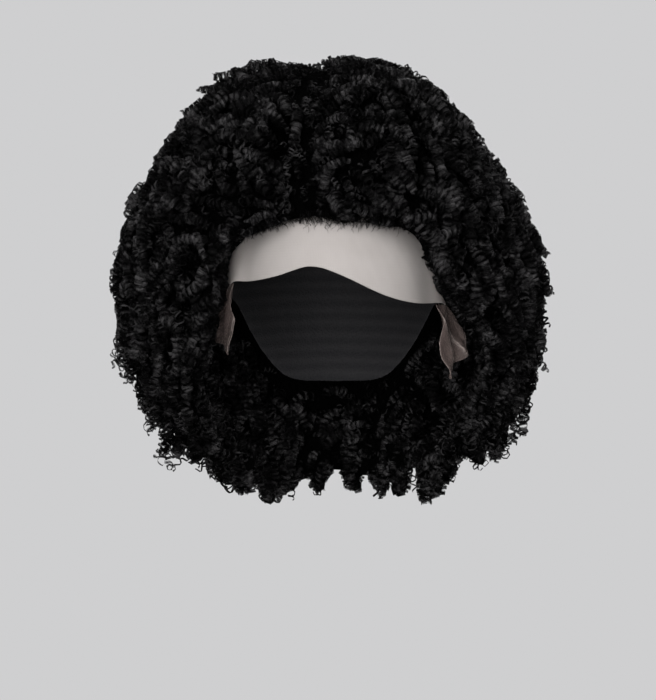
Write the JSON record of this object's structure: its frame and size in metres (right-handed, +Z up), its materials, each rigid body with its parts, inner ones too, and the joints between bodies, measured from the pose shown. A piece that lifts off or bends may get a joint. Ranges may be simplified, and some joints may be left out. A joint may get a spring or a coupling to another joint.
{
  "type": "afro wig",
  "caption": "Round black wig of tight ringlet curls with an off-centre parting, a sheer lace panel over the forehead, lace ear tabs and a stretch cap inside.",
  "frame": {"origin": "the crown of the wearer's head, where it meets the inside of the cap", "axes": "+Z up out of the crown, -Y out of the face opening, +X towards the wearer's left"},
  "size_m": [0.3008, 0.2663, 0.3121],
  "materials": {
    "hair": "soft sheen on synthetic curls",
    "cap": "matte stretch net",
    "lace": "sheer fine mesh"
  },
  "bodies": {
    "root": {"cap": "cap", "lace_front": "lace", "ear_tab_right": "lace", "ear_tab_left": "lace", "hair_front_right": "hair", "hair_front_left": "hair", "hair_side_right": "hair", "hair_side_left": "hair", "hair_crown": "hair", "hair_nape": "hair"}
  },
  "joints": []
}
